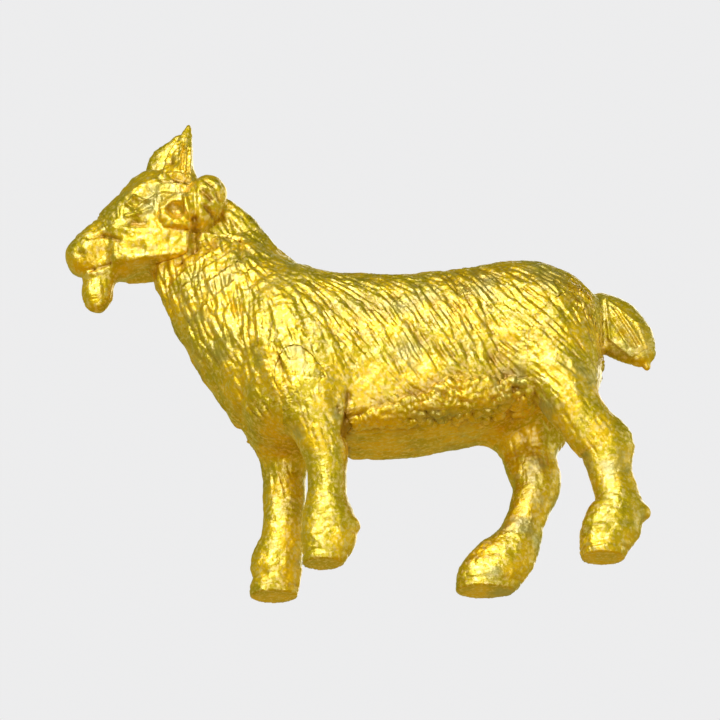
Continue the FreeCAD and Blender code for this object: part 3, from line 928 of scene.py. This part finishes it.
def ridge(offset, height, half_width):
    """Height of a soft ridge, or of a groove if height is negative, at a distance from its middle."""
    return height * np.exp(-((offset / half_width) ** 2))


def mark_heights(points, marks):
    """Sum of the marks at each point, each a soft line. Marks fade out towards the middle plane."""
    seen = points[:, [0, 2]]
    total = np.zeros(len(points))
    for start, end, width, height in marks:
        start, end = np.array(start), np.array(end)
        run = end - start
        share = np.clip((seen - start) @ run / (run @ run), 0, 1)
        gap = np.linalg.norm(seen - start - share[:, None] * run, axis=1)
        total += ridge(gap, height, width)
    return total * np.clip(np.abs(points[:, 1]) - BARE_MIDDLE, 0, 1)


def parting_line(points):
    """The thin raised line that the mould leaves around the middle plane. It wanders and fades in and out."""
    wander = 0.05 * lattice_noise(points, 3.0, 5)
    return ridge(points[:, 1] - wander, 0.07, 0.13) * (0.6 + 0.4 * lattice_noise(points, 1.1, 6))


SOLE_EDGE, CORONET, PASTERN, HOOF_TOP = 0.75, 2.3, 3.0, 5


def hoof_rim(points):
    """The groove above the sole's edge, and a gentle coronet above the hoof."""
    height = points[:, 2] + 0.15 * lattice_noise(points, 1.2, 8)
    groove = ridge(height - SOLE_EDGE, -0.09, 0.14)
    coronet = ridge(height - CORONET, 0.06, 0.5) + ridge(height - PASTERN, -0.05, 0.35)
    return (groove + coronet) * (points[:, 2] < HOOF_TOP)


locks = make_strokes(seed=11, count=2400, spread=0.12, width=(0.20, 0.32), wanted=on_neck)
grooves = make_strokes(seed=12, count=2100, spread=0.08, width=(0.09, 0.16), wanted=on_flank)
curls = make_curls()
STROKE_REACH, CURL_REACH, BED_REACH = 2.6, 0.5, 1.6
# Unevenness of the whole surface: height, size and seed of each layer.
UNEVEN = [(0.06, 2.1, 1), (0.05, 0.75, 2), (0.035, 0.33, 3)]


def relief(points, group):
    """Height of the carving above the smooth body at each point."""
    height = sum(depth * lattice_noise(points, size, seed) for depth, size, seed in UNEVEN)
    height += parting_line(points)
    height += mark_heights(points, BODY_MARKS)
    if group in ("casing", *leg_tubes):
        height += by_cell(points, locks, STROKE_REACH, stroke_shape)
        height -= by_cell(points, grooves, STROKE_REACH, stroke_shape)
        height += by_cell(points, curls, CURL_REACH, curl_shape) - by_cell(points, curls, BED_REACH, curl_bed)
    if group in leg_tubes:
        height += hoof_rim(points)
    if group == "head":
        height += mark_heights(points, FACE_MARKS)
    if group in ("head", "left_ear", "right_ear"):
        height += mark_heights(points, EAR_MARKS)
    if group in ("head", "left_horn", "right_horn"):
        height += mark_heights(points, HORN_MARKS)
    if group == "tail":
        height += mark_heights(points, TAIL_MARKS)
    return height


# ---------------------------------------------------------------- pieces
WALL = 1.4
SHARP_EDGE = math.radians(62)


def neighbours(low, high):
    """Names of the groups whose boxes overlap a box."""
    low, high = np.array(low), np.array(high)
    return [name for name, (_, a, b) in GROUPS.items() if np.all(low < b) and np.all(high > a)]


def piece_fields(group, side, low, high):
    """The blended body and one piece's share of it. With a side, it is one half of the hollow casing."""
    names = neighbours(low, high)

    def fields(points):
        found = group_distances(points, names)
        limit = share_of(group, found)
        if side:
            hollow = -(found["casing"] + WALL)
            limit = np.maximum(np.maximum(limit, -side * points[:, 1]), hollow)
        return np.stack([blended(found), limit], axis=1)

    return fields


def shade(mesh, carved):
    """Stores how deep the carving is, which the paint uses to lay a painted shade into deep carving, and
    marks the edges of the cut faces as sharp.
    """
    attribute = mesh.attributes.new("carving", "FLOAT", "POINT")
    attribute.data.foreach_set("value", carved.astype(np.float32))
    mesh.shade_smooth()
    mesh.set_sharp_from_angle(angle=SHARP_EDGE)


def make_piece(node, group, side, low, high, size, slot_name):
    """Meshes one piece, carves its outside and puts it in place of its CAD node."""
    fields = piece_fields(group, side, low, high)
    points, quads, kind = net(fields, low, high, size)
    points, _ = settle(points, kind, fields, 3)
    points, quads, kind = halve(points, quads, kind)
    points, normal = settle(points, kind, fields, 1)
    carved = np.zeros(len(points))
    outside = kind != CUT
    # The carving depth also sets where the paint lays its brown painted shade.
    carved[outside] = relief(points[outside], group)
    points += normal * carved[:, None]
    points[:, 2] = np.maximum(points[:, 2], 0)
    mesh = bpy.data.meshes.new(f"carved_{node}")
    mesh.from_pydata(points * MM, [], quads)
    mesh.update()
    shade(mesh, carved)
    mesh.materials.append(paints[slot_name])
    piece = bpy.data.objects.new(f"carved_{node}", mesh)
    bpy.context.scene.collection.objects.link(piece)
    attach(piece, "root")
    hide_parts(node)


# ---------------------------------------------------------------- materials
def add(tree, kind, **values):
    node = tree.nodes.new(kind)
    for key, value in values.items():
        setattr(node, key, value)
    return node


def gold_paint(name, seed, worn):
    """Sprayed metallic gold: olive patches, pale flakes, a dark brown painted shade in deep carving, and
    greyish where it is worn.
    Each ramp holds the noise levels between which a colour comes in, and its largest share."""
    material = bpy.data.materials.new(name)
    material.use_nodes = True
    tree = material.node_tree
    tree.nodes.clear()
    link = tree.links.new
    out = add(tree, "ShaderNodeOutputMaterial")
    paint = add(tree, "ShaderNodeBsdfPrincipled")
    link(paint.outputs["BSDF"], out.inputs["Surface"])
    place = add(tree, "ShaderNodeTexCoord")
    shift = add(tree, "ShaderNodeMapping")
    shift.inputs["Location"].default_value = (seed * 0.37, seed * 0.11, seed * 0.23)
    link(place.outputs["Object"], shift.inputs["Vector"])

    def noise(scale, detail):
        """Noise with about scale features in a metre."""
        node = add(tree, "ShaderNodeTexNoise")
        node.inputs["Scale"].default_value = scale
        node.inputs["Detail"].default_value = detail
        link(shift.outputs["Vector"], node.inputs["Vector"])
        return node.outputs["Fac"]

    def ramp(source, low, high, most=1.0):
        node = add(tree, "ShaderNodeMapRange", interpolation_type="SMOOTHSTEP")
        node.inputs["From Min"].default_value = low
        node.inputs["From Max"].default_value = high
        node.inputs["To Max"].default_value = most
        link(source, node.inputs["Value"])
        return node.outputs["Result"]

    def mix(factor, first, second):
        node = add(tree, "ShaderNodeMix", data_type="RGBA")
        link(factor, node.inputs["Factor"])
        for socket, value in ((node.inputs["A"], first), (node.inputs["B"], second)):
            if isinstance(value, tuple):
                socket.default_value = (*value, 1)
            else:
                link(value, socket)
        return node.outputs["Result"]

    def bump(height, strength, distance, under=None):
        node = add(tree, "ShaderNodeBump")
        node.inputs["Strength"].default_value = strength
        node.inputs["Distance"].default_value = distance * MM
        link(height, node.inputs["Height"])
        if under:
            link(under, node.inputs["Normal"])
        return node.outputs["Normal"]

    carving = add(tree, "ShaderNodeAttribute", attribute_name="carving").outputs["Fac"]
    patchy = mix(ramp(noise(380, 4), 0.40, 0.62, 0.9), GOLD, OLIVE_GOLD)
    flaked = mix(ramp(noise(3000, 2), 0.47, 0.68, 0.8), patchy, PALE_GOLD)
    # Painted shade: the deeper the carving, the more the colour turns dark brown, standing in for the shade
    # in grooves and between curls.
    painted_shade_in_carving = mix(ramp(carving, -0.04, -0.30), flaked, PAINTED_SHADE_BROWN)
    colour = mix(ramp(noise(290, 6), 0.54, 0.70, worn), painted_shade_in_carving, WORN_GREY)
    link(colour, paint.inputs["Base Color"])
    paint.inputs["Metallic"].default_value = 1.0
    link(ramp(noise(900, 2), 0.2, 0.8, 0.22), add_to(tree, paint.inputs["Roughness"], 0.36))
    paint.inputs["Coat Weight"].default_value = 0.5
    paint.inputs["Coat Roughness"].default_value = 0.2
    paint.inputs["Coat IOR"].default_value = 1.9
    grain = bump(noise(5200, 3), 0.6, 0.06)
    flake = bump(noise(2100, 2), 0.5, 0.10, grain)
    link(flake, paint.inputs["Normal"])
    link(flake, paint.inputs["Coat Normal"])
    return material


def add_to(tree, socket, amount):
    """Puts a node that adds amount in front of a socket, and returns the input that is still free."""
    node = add(tree, "ShaderNodeMath", operation="ADD")
    node.inputs[1].default_value = amount
    tree.links.new(node.outputs["Value"], socket)
    return node.inputs[0]


GOLD = (0.88, 0.59, 0.004)
OLIVE_GOLD = (0.58, 0.455, 0.002)
PALE_GOLD = (0.97, 0.77, 0.32)
# Dark brown used as painted shade in deep carving.
PAINTED_SHADE_BROWN = (0.40, 0.21, 0.002)
WORN_GREY = (0.44, 0.42, 0.20)
paints = {
    "gilded_coat": gold_paint("coat_paint", 1, 0.45),
    "gilded_head": gold_paint("head_paint", 2, 0.6),
    "gilded_horn": gold_paint("horn_paint", 3, 0.5),
    "gilded_leg": gold_paint("leg_paint", 4, 0.7),
}

COARSE, FINE = 0.25, 0.17
make_piece("left_body_shell", "casing", LEFT, (-19.0, -6.6, 11.5), (21.5, 0.4, 37.0), COARSE, "gilded_coat")
make_piece("right_body_shell", "casing", RIGHT, (-19.0, -0.4, 11.5), (21.5, 6.6, 37.0), COARSE, "gilded_coat")
for leg in leg_tubes:
    low, high = GROUPS[leg][1:]
    make_piece(leg, leg, None, (low[0], low[1], -0.6), high, COARSE, "gilded_leg")
make_piece("head", "head", None, (-26.5, -4.5, 24), (-12, 4.5, 39), FINE, "gilded_head")
for label in SIDES:
    for part, slot_name in (("horn", "gilded_horn"), ("ear", "gilded_head")):
        group = f"{label}_{part}"
        make_piece(group, group, None, *GROUPS[group][1:], FINE, slot_name)
make_piece("tail", "tail", None, *GROUPS["tail"][1:], FINE, "gilded_coat")


# ---------------------------------------------------------------- stage
MIDDLE = Vector((0, 0, 20.4 * MM))
# Place in metres, size in metres and power in watts of each lamp.
LAMPS = {
    "key": ((-0.08, -0.26, 0.19), 0.24, 0.60),
    "front_fill": ((0.05, -0.33, -0.10), 0.20, 0.24),
    "back_fill": ((0.10, 0.28, 0.20), 0.26, 0.34),
    "side_fill": ((0.33, -0.03, 0.12), 0.20, 0.10),
}


# The floor lies a hair below the soles.
FLOOR_HALF, FLOOR_GAP, PAPER_GREY = 1.2, 0.05 * MM, 0.64


def make_floor():
    """A pale floor that is clear from below, because the main view looks up past it."""
    half = FLOOR_HALF
    corners = [(-half, -half, 0), (half, -half, 0), (half, half, 0), (-half, half, 0)]
    mesh = bpy.data.meshes.new("floor")
    mesh.from_pydata(corners, [], [(0, 1, 2, 3)])
    floor = bpy.data.objects.new("floor", mesh)
    bpy.context.scene.collection.objects.link(floor)
    material = bpy.data.materials.new("floor")
    material.use_nodes = True
    tree = material.node_tree
    paper = tree.nodes["Principled BSDF"]
    paper.inputs["Base Color"].default_value = (PAPER_GREY, PAPER_GREY, PAPER_GREY, 1)
    paper.inputs["Roughness"].default_value = 0.9
    clear = add(tree, "ShaderNodeBsdfTransparent")
    back = add(tree, "ShaderNodeNewGeometry")
    choice = add(tree, "ShaderNodeMixShader")
    tree.links.new(back.outputs["Backfacing"], choice.inputs["Fac"])
    tree.links.new(paper.outputs["BSDF"], choice.inputs[1])
    tree.links.new(clear.outputs["BSDF"], choice.inputs[2])
    tree.links.new(choice.outputs["Shader"], tree.nodes["Material Output"].inputs["Surface"])
    mesh.materials.append(material)
    floor.location.z = -FLOOR_GAP
    floor.visible_shadow = False
    floor.visible_glossy = False
    floor.visible_diffuse = False


WARM_GROUND = (0.80, 0.52, 0.03)
ROOM_GREY = (0.70, 0.68, 0.18)
OLIVE_SKY = (0.38, 0.39, 0.05)
PALE_ROOM = (0.845, 0.845, 0.85)
ROOM_STRENGTH = 0.60


def make_world():
    """Pale grey. Only the paint's reflections see a dimmer room, warm from below and olive from above."""
    world = bpy.data.worlds.new("room")
    bpy.context.scene.world = world
    world.use_nodes = True
    tree = world.node_tree
    tree.nodes.clear()
    out = add(tree, "ShaderNodeOutputWorld")
    pale = add(tree, "ShaderNodeBackground")
    pale.inputs["Color"].default_value = (*PALE_ROOM, 1)
    place = add(tree, "ShaderNodeTexCoord")
    parts = add(tree, "ShaderNodeSeparateXYZ")
    level = add(tree, "ShaderNodeMapRange")
    level.inputs["From Min"].default_value = -1
    shades = add(tree, "ShaderNodeValToRGB")
    shades.color_ramp.elements[0].color = (*WARM_GROUND, 1)
    shades.color_ramp.elements[1].color = (*OLIVE_SKY, 1)
    shades.color_ramp.elements.new(0.5).color = (*ROOM_GREY, 1)
    room = add(tree, "ShaderNodeBackground")
    room.inputs["Strength"].default_value = ROOM_STRENGTH
    tree.links.new(place.outputs["Generated"], parts.inputs["Vector"])
    tree.links.new(parts.outputs["Z"], level.inputs["Value"])
    tree.links.new(level.outputs["Result"], shades.inputs["Fac"])
    tree.links.new(shades.outputs["Color"], room.inputs["Color"])
    ray = add(tree, "ShaderNodeLightPath")
    choice = add(tree, "ShaderNodeMixShader")
    tree.links.new(ray.outputs["Is Glossy Ray"], choice.inputs["Fac"])
    tree.links.new(pale.outputs["Background"], choice.inputs[1])
    tree.links.new(room.outputs["Background"], choice.inputs[2])
    tree.links.new(choice.outputs["Shader"], out.inputs["Surface"])


def add_light(name, place, size, watts):
    """A round lamp that looks at the middle of the goat."""
    light = bpy.data.lights.new(name, "AREA")
    light.shape = "DISK"
    light.size = size
    light.energy = watts
    lamp = bpy.data.objects.new(name, light)
    bpy.context.scene.collection.objects.link(lamp)
    lamp.location = Vector(place)
    lamp.rotation_euler = (MIDDLE - Vector(place)).to_track_quat("-Z", "Y").to_euler()
    lamp.visible_camera = False


FRAME_WIDTH = 61.2 * MM
LENS, SENSOR = 350.0, 36.0


def make_camera():
    camera = bpy.data.cameras.new("camera")
    camera.lens = LENS
    camera.sensor_width = SENSOR
    camera.clip_start = 0.005
    view = bpy.data.objects.new("camera", camera)
    bpy.context.scene.collection.objects.link(view)
    distance = FRAME_WIDTH * LENS / SENSOR
    back = Vector((0, -math.cos(CAMERA_ELEVATION), math.sin(CAMERA_ELEVATION)))
    view.location = MIDDLE + back * distance
    view.rotation_euler = (MIDDLE - view.location).to_track_quat("-Z", "Y").to_euler()
    bpy.context.scene.camera = view


make_floor()
make_world()
for lamp_name, (lamp_place, lamp_size, lamp_watts) in LAMPS.items():
    add_light(lamp_name, lamp_place, lamp_size, lamp_watts)
make_camera()
bpy.context.scene.view_settings.view_transform = "Standard"
